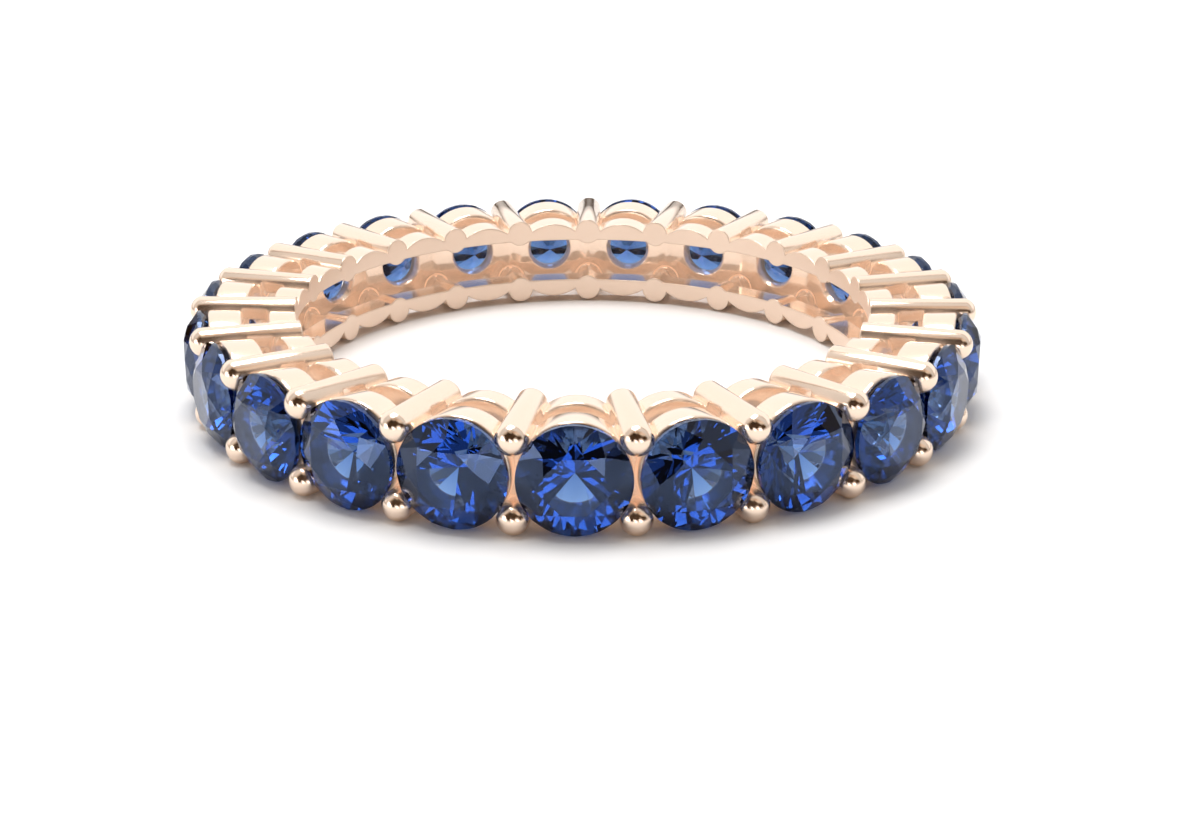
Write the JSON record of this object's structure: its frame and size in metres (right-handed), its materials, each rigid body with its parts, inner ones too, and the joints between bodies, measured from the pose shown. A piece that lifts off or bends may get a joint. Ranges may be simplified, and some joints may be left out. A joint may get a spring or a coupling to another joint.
{
  "type": "eternity ring",
  "caption": "Full eternity ring lying on its side: round blue sapphires all the way round, each in a collet and held by shared round prongs, in rose gold.",
  "frame": {"origin": "on the axis of the finger hole, at the surface that the ring lies on", "axes": "+Z along the axis of the finger hole, upwards as the ring lies; stone 1 faces -Y, and the stones are numbered anticlockwise seen from above"},
  "size_m": [0.024, 0.0239, 0.003],
  "materials": {
    "rose_gold": "mirror polished 14 karat rose gold",
    "sapphire": "polished faceted blue sapphire"
  },
  "bodies": {
    "root": {"band": "rose_gold", "stone_1": "sapphire", "stone_2": "sapphire", "stone_3": "sapphire", "stone_4": "sapphire", "stone_5": "sapphire", "stone_6": "sapphire", "stone_7": "sapphire", "stone_8": "sapphire", "stone_9": "sapphire", "stone_10": "sapphire", "stone_11": "sapphire", "stone_12": "sapphire", "stone_13": "sapphire", "stone_14": "sapphire", "stone_15": "sapphire", "stone_16": "sapphire", "stone_17": "sapphire", "stone_18": "sapphire", "stone_19": "sapphire", "stone_20": "sapphire", "stone_21": "sapphire", "stone_22": "sapphire", "stone_23": "sapphire"}
  },
  "joints": []
}
